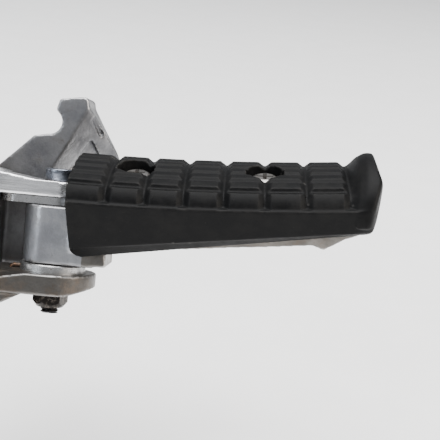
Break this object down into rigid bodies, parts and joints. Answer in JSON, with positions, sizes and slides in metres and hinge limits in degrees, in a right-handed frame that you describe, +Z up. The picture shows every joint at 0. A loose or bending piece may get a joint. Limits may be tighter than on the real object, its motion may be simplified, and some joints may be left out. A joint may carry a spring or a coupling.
{
  "type": "motorcycle foot peg",
  "caption": "Folding rider's foot peg for a motorcycle: a rubber-topped step sprung about a tilted pivot pin in a cast hanger bracket.",
  "frame": {"origin": "midway between the two frame bolts, on the hanger's mating face", "axes": "+X outboard from the motorcycle, +Y forward, +Z up; right-hand rider's side"},
  "size_m": [0.1389, 0.0708, 0.094],
  "materials": {
    "hanger_casting": "cast, ear faces brushed",
    "step_casting": "cast, rubbed bright",
    "thrust_steel": "bright zinc",
    "bolt_plating": "bright",
    "nut_plating": "dark zinc",
    "spring_steel": "lightly rusted wire",
    "screw_plating": "dull zinc",
    "pad_rubber": "satin"
  },
  "bodies": {
    "hanger": {"hanger": "hanger_casting", "upper_thrust_plate": "thrust_steel", "lower_thrust_washer": "thrust_steel", "pivot_sleeve": "thrust_steel", "pivot_bolt": "bolt_plating", "pivot_nut": "nut_plating", "return_spring": "spring_steel"},
    "step": {"step_bar": "step_casting", "step_rubber": "pad_rubber", "rubber_insert": "thrust_steel", "inner_pad_screw": "screw_plating", "outer_pad_screw": "screw_plating", "inner_screw_collar": "thrust_steel", "outer_screw_collar": "thrust_steel"}
  },
  "joints": [
    {"name": "fold", "type": "hinge", "parent": "hanger", "child": "step", "pos_m": [0.036, 0, 0], "axis": [0, -0.3214, -0.9469], "range_deg": [0, 80], "stiffness_Nm_per_rad": 0.2, "springref_deg": -28.65, "deforming": ["return_spring"]}
  ]
}
